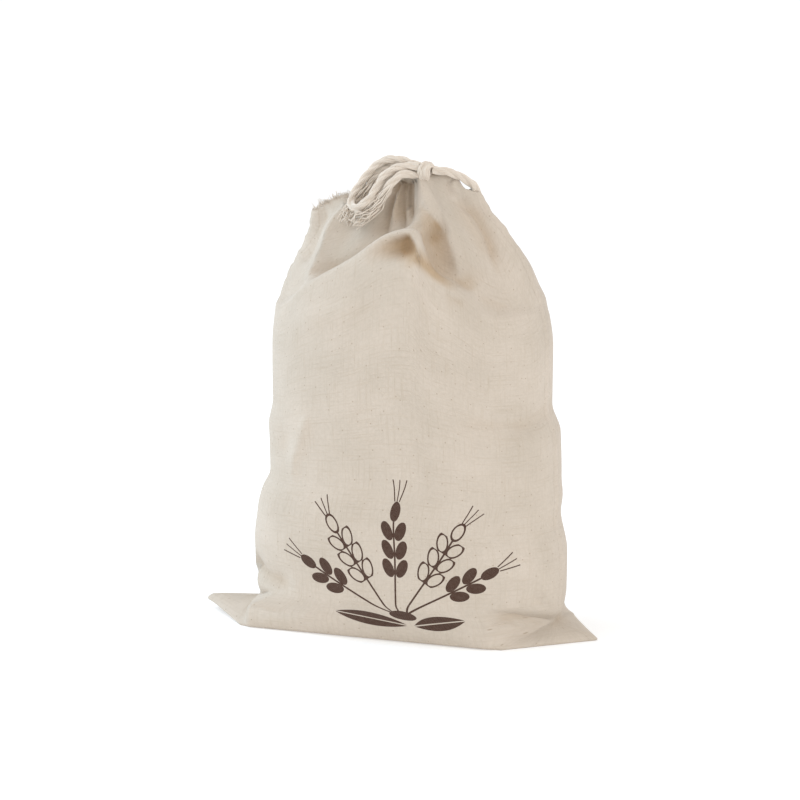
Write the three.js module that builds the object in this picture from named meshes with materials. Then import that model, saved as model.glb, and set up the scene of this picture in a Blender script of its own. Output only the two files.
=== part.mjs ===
// Drawstring bread bag of unbleached cotton, standing full on its base with its mouth drawn shut.
// Millimetres, +Z up, front towards -Y, origin on the floor under the middle of the bag.
import * as THREE from 'three';

// Driving dimensions of the cloth
const PANEL_WIDTH = 300; // flat width of a panel between the side seams
const MOUTH_HEIGHT = 320; // drawn mouth over the floor
const MOUTH_HALF_WIDTH = 62.5; // half length of the drawn mouth
const CLOTH = 1.2; // thickness of the cloth
const NECK_HEIGHT = 230; // where the cloth starts to be drawn in
const GATHER_X = 16; // sideways place of the tightest gathers
const LEFT_DROOP = 24; // how far the left end of the mouth hangs below its middle
const RIGHT_DROOP = 7; // the same at the right end
const DROOP_POWER = 2.2; // how late the droop sets in towards the ends
const LEFT_EAR_LIFT = 5; // how far the tip of the left base flap stands off the floor
const LEFT_EAR_START = 100; // distance from the middle where that lift starts
const LEFT_EAR_TIP = PANEL_WIDTH / 2; // distance from the middle of the flap's tip
const EAR_TOP = 14; // the base flaps end below this height
const EAR_FULL_LIFT = 6; // and are lifted in full below this one
const RIM_PLEAT_SHARE = 0.5; // share of a pleat's height that is left at the mouth's edge
const PLEAT_RISE = 25; // distance below the edge where a pleat has its full height
const PLEAT_FADE = 0.45; // share of a pleat's reach where it starts to run out
const SEAM_MARGIN = 0.07; // share of a half panel beside each seam that no pleat reaches
const FOLD_SEAM_MARGIN = 0.03; // the same for the folds of the front
const FOLD_RIM_SHARE = 0.8; // share of a front fold's height that is left at the mouth's edge
const FOLD_RIM_RISE = 10; // distance below the edge where a front fold has its full height
const SHOULDER_ROW = 232; // height at the seams of the shoulder fold's crest
const SHOULDER_BLEND = 5; // height over which the folds above it take over from those below
const RIM_REACH = 26; // height over which the hem's uneven edge sets in
const BASE_CREASED = 12; // the base has its creased outline up to this height
const BASE_ROUND = 30; // and none of it above this one
const BASE_EDGE = 1.3; // how much more cloth there is along the sharp edge of the base

// Driving dimensions of the drawstring
const CORD_DIAMETER = 5;
const CORD_PITCH = 13; // length of one turn of the three-ply twist
const CORD_PLIES = 3;
const CORD_SIDES = 9;
const CORD_STEP = 2.6; // length of one step along a cord
const PLY_RELIEF = 0.12; // depth of the grooves between plies, as a share of the radius
const FRAY_LENGTH = 9; // frayed end of a tail
const FRAY_SPREAD = 0.45; // how much wider than the cord it opens
const KNOT_RADIUS = 6.5;
const KNOT_BULGE = 0.5;
const KNOT_WRAPS = 2.5;
const KNOT_RELIEF = 0.45;
const KNOT_SIDES = 18;
const KNOT_STEPS = 14;

// Resolution of the cloth
const PANEL_COLUMNS = 44;
const ARC_STEPS = 240;
const ROW_HEIGHTS = [
  0, 3, 6, 9, 13.5, 20, 30, 45, 62, 85, 112, 144, 170, 195, 208, 217, 224, 229,
  232, 234.5, 238, 246, 256, 266, 276, 286, 296, 306, 314, MOUTH_HEIGHT,
];

// Sections of the bag from the floor up, as half sizes about the seams.
// z is the height at the side seams, and lift is the share of the shoulder fold's rise that the
// front follows there. square is 2 for an ellipse and more for squarer corners. The ears are how far
// the base flaps reach past the half width.
const SECTION_COLUMNS = [
  'z', 'lift', 'halfWidth', 'front', 'back', 'square', 'leftEar', 'rightEar', 'shift',
];
const SECTIONS = [
  [0, 0, 104, 63, 58, 4, 45, 46, 0],
  [3, 0, 105, 63.5, 59, 4, 44, 42, 0],
  [6, 0, 105, 64, 60, 3.8, 41, 33, 1],
  [9, 0, 106, 64, 61, 3.4, 26, 20, 2],
  [13, 0, 107, 64.2, 62, 3, 4, 9, 4],
  [20, 0, 110.5, 64.5, 63, 2.7, 0, 3, 9.5],
  [32, 0, 113, 65.5, 64.5, 2.5, 0, 0, 9],
  [60, 0, 114, 67, 67, 2.4, 0, 0, 8.5],
  [85, 0.03, 110, 68, 68, 2.4, 0, 0, 7.5],
  [112, 0.1, 107, 69, 69, 2.4, 0, 0, 10.5],
  [144, 0.25, 103.5, 69, 70, 2.4, 0, 0, 10],
  [163, 0.36, 100, 69, 70, 2.4, 0, 0, 10],
  [205, 0.8, 100.5, 66, 68, 2.4, 0, 0, 10],
  [226, 0.98, 98.5, 61, 65, 2.4, 0, 0, 9.5],
  [231, 1, 97.6, 58, 64.2, 2.4, 0, 0, 9],
  [233, 0.98, 97.2, 52, 63.8, 2.4, 0, 0, 9],
  [237, 0.88, 96.5, 40, 63, 2.4, 0, 0, 9],
  [250, 0.74, 92.5, 32, 58, 2.3, 0, 0, 8],
  [265, 0.56, 86.5, 26, 51, 2.2, 0, 0, 7],
  [280, 0.4, 79, 21, 41, 2.2, 0, 0, 5],
  [295, 0.25, 72, 17, 30, 2.1, 0, 0, 3],
  [308, 0.12, 66, 12.5, 18, 2.0, 0, 0, 0],
  [MOUTH_HEIGHT, 0, MOUTH_HALF_WIDTH, 9.5, 9.5, 2.0, 0, 0, -2.5],
];

// Shoulder fold across the front: how far it rises over its two ends, by place across the bag.
const RISE_COLUMNS = ['x', 'rise'];
const SHOULDER_FOLD = [
  [-86, 0], [-76, 5], [-66, 14], [-49, 24.5], [-36, 31.5], [-23, 39], [-9, 49], [1, 55.5], [9, 58.5],
  [15, 59.5], [20, 57.5], [27, 42], [32, 33.5], [38, 28], [46, 23], [57, 14], [68, 4], [76, 0],
];

// How far the hem stands up at the front and the back, by place across the mouth.
const FRONT_RIM = [
  [-62, 0], [-20, 0], [-6, 4], [2, 8.5], [9, 7.6], [14, 9.4], [20, 8.4], [26, 9], [33, 7],
  [38, 5], [42, 3], [46, 1.5], [50, 0.5], [62, 0],
];
const BACK_RIM = [[-62, 0], [-40, 0], [-12, 1], [18, 2], [40, 1.5], [54, 1], [62, 0]];

// Creased outline of a panel near the floor, by height. For the left and then the right side: x and
// depth of the flap's crease, x and depth of the body's corner, and depth of the face.
const BASE_COLUMNS = [
  'z', 'leftX', 'leftDepth', 'leftBodyX', 'leftBodyDepth', 'leftFace',
  'rightX', 'rightDepth', 'rightBodyX', 'rightBodyDepth', 'rightFace',
];
const FRONT_BASE = [
  [0, -106, 46, -97, 47.5, 49, 95, 52, 84, 53, 52],
  [4, -105.5, 36, -98, 49, 51, 101, 41, 84, 55.5, 54.5],
  [9, -107, 18, -99, 47, 54, 110, 22, 83, 57, 57.5],
  [13.5, -106, 12, -101, 40, 56, 118, 8, 84, 57, 59],
];
const BACK_BASE = [
  [0, -108, 48, -98, 52, 56, 117, 54, 106, 57, 58],
  [4, -108, 40, -99, 53, 58, 117, 50, 107, 56, 60],
  [9, -109, 20, -100, 50, 60, 118, 40, 108, 54, 61],
  [13.5, -106, 12, -101, 44, 61, 119, 18, 109, 51, 62],
];
const BASE_PLACES = [0, 8, 9, 15, 27, 33, 34, PANEL_COLUMNS]; // columns of the panel at its corners
const BASE_FACE_X = [-50, 35]; // where the face's two depths are given

// Pleats of the back, as u, halfWidth, height and reach. u is the place across the flat panel and
// halfWidth is measured there too, height is how far the pleat stands out or sinks in, and reach is
// its length below the mouth.
const BACK_PLEATS = [
  [-118, 16, 4, 70],
  [-80, 14, -6, 90],
  [-45, 12, 5, 60],
  [-12, 11, -6, 50],
  [22, 12, 5, 70],
  [58, 12, -6, 85],
  [95, 15, 6, 75],
  [125, 11, -4, 60],
];

// Folds of the front, as height, half width on the line's left and right, power of the flanks, share
// of the length that fades in at the start and out at the end, zone, and the line as x and z. The
// zones part at the shoulder fold.
const FRONT_FOLDS = [
  // Pocket under the shoulder fold's top and the pleat that bounds it
  [-7, 9, 10, 2, 0.6, 0.05, 'all', [[4, 271], [12, 274], [20, 277.5], [27, 281], [31, 282]]],
  [4, 5, 5, 1.6, 0.2, 0.25, 'above', [[17, 310], [22, 300], [28, 291], [34, 281], [39, 273], [46, 266]]],
  // Valleys behind the two halves of the shoulder fold, and the one beside the pleat
  [-6, 5, 5, 1.8, 0.15, 0.1, 'above', [[-54, 250], [-30, 265], [-5, 283], [6, 291], [24, 297]]],
  [-6, 5, 5, 1.8, 0.1, 0.25, 'above', [[38, 271], [46, 264], [54, 258.5], [62, 252], [68, 246]]],
  [-5, 5, 6, 1.8, 0.3, 0.3, 'above', [[29, 294], [34, 284], [42, 272], [54, 258]]],
  // Broad pleat, the valley on its right and the pleat beyond
  [5, 12, 12, 2.4, 0.25, 0.35, 'above', [[27, 316], [37, 305], [48, 293], [58, 280], [64, 267], [69, 254]]],
  [-5, 7, 5, 1.7, 0.25, 0.35, 'above', [[36, 314], [58, 299], [66, 289], [72, 278], [84, 251]]],
  [4, 10, 10, 2, 0.02, 0.3, 'above', [[53, 314], [64, 302], [74, 288], [82, 274], [89, 259]]],
  // Left wing
  [4, 7, 6, 1.6, 0.05, 0.2, 'above', [[-35, 303], [-46, 289], [-52, 275], [-57, 255], [-60, 246]]],
  [-4, 6, 7, 2, 0.05, 0.3, 'above', [[-48, 299], [-55, 292], [-62, 275], [-68, 256]]],
  [-5, 9, 9, 2, 0.1, 0.2, 'above', [[-28, 290], [-31, 281], [-36, 270], [-42, 259]]],
  // Gathers under the knot
  [-4, 4, 4, 1.5, 0.01, 0.3, 'above', [[5, 320], [2, 309], [0, 300], [-7, 282]]],
  [-4, 4, 4, 1.5, 0.01, 0.3, 'above', [[16, 321], [18, 307], [21, 296]]],
  // Face of the bag
  [-2.2, 5, 6, 1.5, 0.3, 0.05, 'below', [[54, 159], [73, 159], [91, 157], [112, 153]]],
  [-3, 10, 10, 2, 0.3, 0.3, 'below', [[-66, 152], [-70, 138], [-74, 124]]],
  // Folds over the base flaps
  [-6, 7, 6, 1.6, 0.02, 0.45, 'below', [[-101, 43], [-93, 40], [-84, 37.5], [-69, 37], [-54, 38]]],
  [-4, 5, 9, 1.6, 0.05, 0.3, 'below', [[119, 33], [112, 30], [104, 26], [94, 20], [84, 12]]],
];

// Routes of the drawstring's stretches, as points on their middle lines.
const KNOT_AXIS = [[20, -18, 328.6], [32.2, -18, 327.6]];
const ROUTES = {
  drawstring_upper: [
    [33.9, -15, 328.6], [38, -12.6, 328], [42.6, -9.6, 326.6], [46.6, -7, 324.6],
    [50.2, -4.6, 322.2], [53.2, -2.2, 320], [55.4, -0.2, 318.6], [57, 1.4, 317.4],
  ],
  bow_loop: [
    [19, -15.2, 331.6], [14, -15, 333.2], [8, -15, 334.8], [0.6, -15.6, 335.4], [-6.8, -16, 333.4],
    [-13.2, -16.4, 328.4], [-18.2, -17.4, 322.6], [-22.6, -18.6, 316.4], [-26, -20.6, 310.2],
    [-26.2, -25.2, 304.8], [-21, -30.2, 302.4], [-14, -32.4, 305.4], [-8.8, -31, 310.8],
    [-5.4, -28.2, 317.4], [-1.6, -25.4, 324.4], [5, -23.4, 329.4], [12.4, -21.8, 331.4],
    [19, -20.8, 331.4],
  ],
  tail_front: [
    [18.4, -20.9, 325.9], [14.6, -23, 326.4], [9.8, -26, 324.8], [5.4, -28.2, 320.4],
    [1.4, -29.6, 313.8], [-4, -30.4, 306.4], [-10.4, -30.8, 300.2], [-17.4, -31, 295.2],
    [-23, -31, 291.4],
  ],
  tail_back: [
    [18.2, -15, 326.4], [13.4, -14, 328.4], [6.8, -13.2, 330.2], [0.4, -13, 330.6], [-5, -13.4, 329],
    [-10, -13.8, 325], [-14.6, -14.8, 319.8], [-18.7, -16, 314], [-23.4, -16.8, 307.4],
    [-27.8, -18, 301], [-31, -20, 295], [-32.6, -22.4, 290.5],
  ],
};
const FRAYED = ['tail_front', 'tail_back'];

const CALICO = new THREE.MeshStandardMaterial({ color: 0xd6cabb, roughness: 0.95, metalness: 0 });
const COTTON_CORD = new THREE.MeshStandardMaterial({ color: 0xcec3b3, roughness: 0.9, metalness: 0 });

function smoothstep(from, to, x) {
  const t = THREE.MathUtils.clamp((x - from) / (to - from), 0, 1);
  return t * t * (3 - 2 * t);
}

// Monotone cubic curve through one column of a table, by the table's first column
function tableCurve(rows, columns, name) {
  const at = columns.indexOf(name);
  const xs = rows.map((row) => row[0]);
  const ys = rows.map((row) => row[at]);
  const last = xs.length - 1;
  const gaps = xs.slice(1).map((x, i) => x - xs[i]);
  const slopes = gaps.map((gap, i) => (ys[i + 1] - ys[i]) / gap);
  const tangents = xs.map((x, i) => {
    if (i === 0) return slopes[0];
    if (i === last) return slopes[last - 1];
    if (slopes[i - 1] * slopes[i] <= 0) return 0;
    const before = 2 * gaps[i] + gaps[i - 1];
    const after = gaps[i] + 2 * gaps[i - 1];
    return (before + after) / (before / slopes[i - 1] + after / slopes[i]);
  });
  return (value) => {
    const x = THREE.MathUtils.clamp(value, xs[0], xs[last]);
    let i = 0;
    while (i < last - 1 && x > xs[i + 1]) i += 1;
    const t = (x - xs[i]) / gaps[i];
    return ys[i] * (1 + 2 * t) * (1 - t) ** 2 + gaps[i] * tangents[i] * t * (1 - t) ** 2
      + ys[i + 1] * t * t * (3 - 2 * t) + gaps[i] * tangents[i + 1] * t * t * (t - 1);
  };
}

// Curves through all columns of a table, by name
function tableCurves(rows, columns) {
  return Object.fromEntries(columns.map((name) => [name, tableCurve(rows, columns, name)]));
}

const section = tableCurves(SECTIONS, SECTION_COLUMNS);
const frontBase = tableCurves(FRONT_BASE, BASE_COLUMNS);
const backBase = tableCurves(BACK_BASE, BASE_COLUMNS);
const shoulderRise = tableCurve(SHOULDER_FOLD, RISE_COLUMNS, 'rise');
const frontRim = tableCurve(FRONT_RIM, RISE_COLUMNS, 'rise');
const backRim = tableCurve(BACK_RIM, RISE_COLUMNS, 'rise');

// Half section of the bag at one height, from the left seam to the right one, as a polyline
function halfSection(z, depth) {
  const halfWidth = section.halfWidth(z);
  const power = 2 / section.square(z);
  const points = [];
  let run = 0;
  for (let i = 0; i <= ARC_STEPS; i += 1) {
    const angle = (Math.PI * i) / ARC_STEPS;
    const across = -Math.cos(angle);
    const x = Math.sign(across) * halfWidth * Math.abs(across) ** power;
    const y = depth * Math.abs(Math.sin(angle)) ** power;
    if (i > 0) run += Math.hypot(x - points[i - 1].x, y - points[i - 1].y);
    points.push({ x, y, run });
  }
  return points;
}

// Point of a half section at a share of its length
function alongSection(points, share) {
  const run = share * points[points.length - 1].run;
  let i = 1;
  while (i < points.length - 1 && points[i].run < run) i += 1;
  const from = points[i - 1];
  const to = points[i];
  const t = (run - from.run) / (to.run - from.run);
  return new THREE.Vector2(from.x + t * (to.x - from.x), from.y + t * (to.y - from.y));
}

// Creased outline of a panel near the floor, from the left seam to the right one
function baseOutline(base, z) {
  const reach = section.halfWidth(z);
  const shift = section.shift(z);
  return [
    [-reach - section.leftEar(z), 0],
    [base.leftX(z) - shift, base.leftDepth(z)],
    [base.leftBodyX(z) - shift, base.leftBodyDepth(z)],
    [BASE_FACE_X[0] - shift, base.leftFace(z)],
    [BASE_FACE_X[1] - shift, base.rightFace(z)],
    [base.rightBodyX(z) - shift, base.rightBodyDepth(z)],
    [base.rightX(z) - shift, base.rightDepth(z)],
    [reach + section.rightEar(z), 0],
  ].map((point) => new THREE.Vector2(...point));
}

// Point of that outline at a share of the panel
function alongBase(outline, share) {
  const place = share * PANEL_COLUMNS;
  let i = 1;
  while (i < BASE_PLACES.length - 1 && BASE_PLACES[i] < place) i += 1;
  const t = (place - BASE_PLACES[i - 1]) / (BASE_PLACES[i] - BASE_PLACES[i - 1]);
  return outline[i - 1].clone().lerp(outline[i], t);
}

// Where a line comes nearest to a place: the distance, the share of the line's length and the side
function nearestOnLine(line, x, z) {
  let run = 0;
  let nearest = { distance: Infinity };
  for (let i = 1; i < line.length; i += 1) {
    const from = new THREE.Vector2(...line[i - 1]);
    const along = new THREE.Vector2(...line[i]).sub(from);
    const offset = new THREE.Vector2(x, z).sub(from);
    const t = THREE.MathUtils.clamp(offset.dot(along) / along.lengthSq(), 0, 1);
    offset.addScaledVector(along, -t);
    const distance = offset.length();
    if (distance < nearest.distance) {
      nearest = { distance, run: run + t * along.length(), onLeft: along.cross(offset) > 0 };
    }
    run += along.length();
  }
  return { ...nearest, share: nearest.run / run };
}

// How far the folds stand out of the smooth front, at a place s across it and on the row of height z
function foldRelief(point, s, z) {
  const above = smoothstep(SHOULDER_ROW, SHOULDER_ROW + SHOULDER_BLEND, z);
  const zones = { above, below: 1 - above, all: 1 };
  let relief = 0;
  for (const [height, leftWidth, rightWidth, power, fadeIn, fadeOut, zone, line] of FRONT_FOLDS) {
    const { distance, share, onLeft } = nearestOnLine(line, point.x, point.z);
    const ends = smoothstep(0, fadeIn, share) * smoothstep(1, 1 - fadeOut, share);
    const flank = Math.exp(-((distance / (onLeft ? leftWidth : rightWidth)) ** power));
    relief += height * flank * ends * zones[zone];
  }
  const rim = FOLD_RIM_SHARE + (1 - FOLD_RIM_SHARE) * smoothstep(0, FOLD_RIM_RISE, MOUTH_HEIGHT - z);
  return relief * rim * smoothstep(1, 1 - FOLD_SEAM_MARGIN, Math.abs(s));
}

// How far the pleats stand out of the smooth back, at a place s from -1 to 1 across it
function pleatRelief(s, z) {
  const below = MOUTH_HEIGHT - z;
  const u = (s * PANEL_WIDTH) / 2;
  let relief = 0;
  for (const [at, halfWidth, height, reach] of BACK_PLEATS) {
    const fade = 1 - smoothstep(PLEAT_FADE * reach, reach, below);
    relief += height * Math.exp(-(((u - at) / halfWidth) ** 2)) * fade;
  }
  const rim = RIM_PLEAT_SHARE + (1 - RIM_PLEAT_SHARE) * smoothstep(0, PLEAT_RISE, below);
  return relief * rim * smoothstep(1, 1 - SEAM_MARGIN, Math.abs(s));
}

// One row of one panel, seam to seam. front is 1 for the front panel and 0 for the back one.
function panelRow(z, front) {
  const depth = front ? section.front(z) : section.back(z);
  const points = halfSection(z, depth);
  const outline = baseOutline(front ? frontBase : backBase, z);
  const creased = 1 - smoothstep(BASE_CREASED, BASE_ROUND, z);
  const drawn = smoothstep(NECK_HEIGHT, MOUTH_HEIGHT, z);
  const atRim = smoothstep(MOUTH_HEIGHT - RIM_REACH, MOUTH_HEIGHT, z);
  const places = Array.from({ length: PANEL_COLUMNS + 1 }, (_, j) => (2 * j) / PANEL_COLUMNS - 1);
  const plan = places.map((s) => {
    const packed = (1 - drawn / 2) * s + (drawn / 2) * s ** 3;
    const place = packed + (GATHER_X / MOUTH_HALF_WIDTH) * drawn * (1 - s * s);
    const share = (THREE.MathUtils.clamp(place, -1, 1) + 1) / 2;
    return alongSection(points, share).lerp(alongBase(outline, share), creased);
  });
  return plan.map((point, j) => {
    const before = plan[Math.max(j - 1, 0)];
    const after = plan[Math.min(j + 1, PANEL_COLUMNS)];
    const outward = new THREE.Vector2(before.y - after.y, after.x - before.x).normalize();
    const pleat = front ? 0 : pleatRelief(places[j], z);
    const x = point.x + outward.x * pleat;
    const y = point.y + outward.y * pleat;
    const droop = x < GATHER_X
      ? LEFT_DROOP * Math.min((GATHER_X - x) / (GATHER_X + MOUTH_HALF_WIDTH), 1) ** DROOP_POWER
      : RIGHT_DROOP * Math.min((x - GATHER_X) / (MOUTH_HALF_WIDTH - GATHER_X), 1) ** DROOP_POWER;
    const earLift = LEFT_EAR_LIFT * smoothstep(LEFT_EAR_START, LEFT_EAR_TIP, -x)
      * smoothstep(EAR_TOP, EAR_FULL_LIFT, z);
    const rise = front * section.lift(z) * shoulderRise(point.x);
    const ruffle = atRim * (front ? frontRim(x) : backRim(x));
    const height = z + rise - droop * drawn + earLift + ruffle;
    const placed = new THREE.Vector3(x + section.shift(z), front ? -y : y, height);
    const fold = front ? foldRelief(placed, places[j], z) : 0;
    placed.x += outward.x * fold;
    placed.y -= outward.y * fold;
    return placed;
  });
}

// Rows of both panels joined at the seams: each row runs left to right in front and back behind
function clothRows() {
  return ROW_HEIGHTS.map((z) => {
    const front = panelRow(z, 1);
    const back = panelRow(z, 0);
    return [...front, ...back.slice(1, -1).reverse()];
  });
}

// Outward directions of the cloth
function clothNormals(rows) {
  const ring = rows[0].length;
  return rows.map((row, r) => row.map((point, j) => {
    const along = row[(j + 1) % ring].clone().sub(row[(j + ring - 1) % ring]);
    const lower = rows[Math.max(r - 1, 0)][j];
    const upper = rows[Math.min(r + 1, rows.length - 1)][j];
    return along.cross(upper.clone().sub(lower)).normalize();
  }));
}

function indexedGeometry(points, triangles) {
  const geometry = new THREE.BufferGeometry();
  geometry.setFromPoints(points);
  geometry.setIndex(triangles.flat());
  geometry.computeVertexNormals();
  return geometry;
}

// The cloth as one closed shell: outer skin, inner skin, the mouth's edge and a flat base
function bagGeometry() {
  const outer = clothRows();
  const normals = clothNormals(outer);
  const inner = outer.map((row, r) => row.map((point, j) => {
    const normal = normals[r][j];
    if (r > 0) return point.clone().addScaledVector(normal, -CLOTH);
    const level = new THREE.Vector3(normal.x, normal.y, 0);
    const inset = (BASE_EDGE * CLOTH * (1 + normal.z)) / level.lengthSq();
    return point.clone().addScaledVector(level, -inset).setZ(point.z + CLOTH);
  }));
  const rows = outer.length;
  const ring = outer[0].length;
  const innerStart = rows * ring;
  const triangles = [];
  for (let j = 0; j < ring; j += 1) {
    const k = (j + 1) % ring;
    for (let r = 0; r < rows - 1; r += 1) {
      const low = r * ring;
      const high = low + ring;
      triangles.push([low + j, low + k, high + k], [low + j, high + k, high + j]);
      const inLow = innerStart + low;
      const inHigh = innerStart + high;
      triangles.push([inLow + j, inHigh + k, inLow + k], [inLow + j, inHigh + j, inHigh + k]);
    }
    const top = (rows - 1) * ring;
    const inTop = innerStart + top;
    triangles.push([top + j, top + k, inTop + k], [top + j, inTop + k, inTop + j]);
  }
  for (let j = 0; j < PANEL_COLUMNS; j += 1) {
    const back = (ring - j) % ring;
    const nextBack = ring - j - 1;
    const underside = [];
    if (j > 0) underside.push([j, back, nextBack]);
    if (j < PANEL_COLUMNS - 1) underside.push([j, nextBack, j + 1]);
    for (const [a, b, c] of underside) {
      triangles.push([a, b, c], [innerStart + a, innerStart + c, innerStart + b]);
    }
  }
  return indexedGeometry([...outer.flat(), ...inner.flat()], triangles);
}

// Closed tube along a curve. radiusAt gives the radius from the length run so far, the side's
// number and its angle.
function tubeGeometry(curve, steps, sides, turn, radiusAt) {
  const frames = curve.computeFrenetFrames(steps, false);
  const length = curve.getLength();
  const points = [];
  const triangles = [];
  for (let i = 0; i <= steps; i += 1) {
    const centre = curve.getPointAt(i / steps);
    const run = (length * i) / steps;
    for (let k = 0; k < sides; k += 1) {
      const angle = (2 * Math.PI * k) / sides + turn(run);
      const radius = radiusAt(run, k, angle);
      points.push(centre.clone()
        .addScaledVector(frames.normals[i], radius * Math.cos(angle))
        .addScaledVector(frames.binormals[i], radius * Math.sin(angle)));
    }
  }
  const first = points.length;
  points.push(curve.getPointAt(0), curve.getPointAt(1));
  for (let k = 0; k < sides; k += 1) {
    const next = (k + 1) % sides;
    for (let i = 0; i < steps; i += 1) {
      const low = i * sides;
      const high = low + sides;
      triangles.push([low + k, low + next, high + next], [low + k, high + next, high + k]);
    }
    const end = steps * sides;
    triangles.push([first, next, k], [first + 1, end + k, end + next]);
  }
  return indexedGeometry(points, triangles);
}

// Three-ply twisted cord along a route, opening out at a frayed end
function cordGeometry(route, frayed) {
  const curve = new THREE.CatmullRomCurve3(route.map((point) => new THREE.Vector3(...point)));
  const length = curve.getLength();
  const turn = (run) => (2 * Math.PI * run) / CORD_PITCH;
  const radiusAt = (run, k) => {
    const ply = Math.cos((2 * Math.PI * CORD_PLIES * k) / CORD_SIDES);
    const fray = frayed ? FRAY_SPREAD * smoothstep(length - FRAY_LENGTH, length, run) : 0;
    return (CORD_DIAMETER / 2) * (1 - PLY_RELIEF * (1 - ply) / 2) * (1 + fray);
  };
  return tubeGeometry(curve, Math.ceil(length / CORD_STEP), CORD_SIDES, turn, radiusAt);
}

// The knot as a short barrel with the cord's wraps raised around it
function knotGeometry() {
  const [from, to] = KNOT_AXIS.map((point) => new THREE.Vector3(...point));
  const curve = new THREE.LineCurve3(from, to);
  const length = curve.getLength();
  const radiusAt = (run, k, angle) => {
    const bulge = KNOT_BULGE * Math.sin((Math.PI * run) / length);
    const wrap = angle + (2 * Math.PI * KNOT_WRAPS * run) / length;
    return KNOT_RADIUS + bulge + KNOT_RELIEF * Math.cos(wrap);
  };
  return tubeGeometry(curve, KNOT_STEPS, KNOT_SIDES, () => 0, radiusAt);
}

function addMesh(group, name, geometry, material) {
  const mesh = new THREE.Mesh(geometry, material);
  mesh.name = name;
  group.add(mesh);
}

const breadBag = new THREE.Group();
addMesh(breadBag, 'bag_cloth', bagGeometry(), CALICO);
addMesh(breadBag, 'knot', knotGeometry(), COTTON_CORD);
for (const [name, route] of Object.entries(ROUTES)) {
  addMesh(breadBag, name, cordGeometry(route, FRAYED.includes(name)), COTTON_CORD);
}

export default breadBag;
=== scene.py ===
"""Drawstring bread bag of unbleached cotton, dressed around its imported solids.

The frame is in metres, +Z up, with the front towards -Y. Lengths here are in millimetres, and
those of the camera, the floor and the lamps are in metres.
"""
import math

import bpy
import numpy as np
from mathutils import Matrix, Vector


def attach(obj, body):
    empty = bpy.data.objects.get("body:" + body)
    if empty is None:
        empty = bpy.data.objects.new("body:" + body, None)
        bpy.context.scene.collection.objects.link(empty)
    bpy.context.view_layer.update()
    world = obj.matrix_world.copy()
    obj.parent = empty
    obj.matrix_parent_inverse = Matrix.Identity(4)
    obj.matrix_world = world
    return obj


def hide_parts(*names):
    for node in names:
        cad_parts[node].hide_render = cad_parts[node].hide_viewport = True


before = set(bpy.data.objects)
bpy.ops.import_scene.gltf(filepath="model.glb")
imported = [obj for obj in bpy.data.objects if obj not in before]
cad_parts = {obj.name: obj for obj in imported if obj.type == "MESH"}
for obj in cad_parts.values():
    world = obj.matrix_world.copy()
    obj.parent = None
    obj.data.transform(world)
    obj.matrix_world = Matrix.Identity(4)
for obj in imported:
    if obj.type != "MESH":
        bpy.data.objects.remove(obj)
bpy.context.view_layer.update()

MM = 0.001
TINY = 1e-9  # keeps a zero vector from dividing by zero
SEED = 7

# Camera at the photograph's place
TARGET = Vector((0.001, 0.0, 0.163))
AZIMUTH = math.radians(20)
ELEVATION = math.radians(9.5)
DISTANCE = 2.2
VIEW_WIDTH = 0.568  # width of the picture at the target
SENSOR = 36
CLIP_END = 200  # farther than the floor's edge

# Cloth
PANEL_WIDTH = 300  # flat width of a panel between the side seams
MOUTH_HEIGHT = 320
MOUTH_HALF_WIDTH = 62.5
CLOTH = 1.0  # thickness of the cloth
NECK_HEIGHT = 230  # where the cloth starts to be drawn in
GATHER_X = 16  # place of the tightest gathers
LEFT_DROOP = 24  # how far the left end of the mouth hangs below its middle
RIGHT_DROOP = 7  # the same at the right end
DROOP_POWER = 2.2  # how late the droop sets in towards the ends
LEFT_EAR_LIFT = 5  # of the left base flap's tip off the floor
LEFT_EAR_START = 100  # where that lift starts, from the middle
EAR_TOP = 14  # the base flaps end below this height
EAR_FULL_LIFT = 6  # and are lifted in full below this one
BASE_EDGE = 1.3  # times the cloth's thickness along the base's edge
RIM_PLEAT_SHARE = 0.5  # share of a back pleat's height left at the mouth's edge
PLEAT_RISE = 25  # distance below the edge where it has its full height
PLEAT_FADE = 0.45  # share of its reach where it starts to run out
SEAM_MARGIN = 0.07  # share of a half panel beside each seam without back pleats
PANEL_COLUMNS = 132  # grid steps across a panel
FRONT = slice(PANEL_COLUMNS + 1)  # the front panel's columns of a closed ring
LEVEL = (1, 1, 0)  # takes the level part of a direction
ARC_STEPS = 480  # steps along a half section
# Bands of rows from the floor up: from, to, rows
ROW_BANDS = [
    (0, 2, 3), (2, 30, 20), (30, 212, 58), (212, 246, 34), (246, MOUTH_HEIGHT, 56),
]

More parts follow.
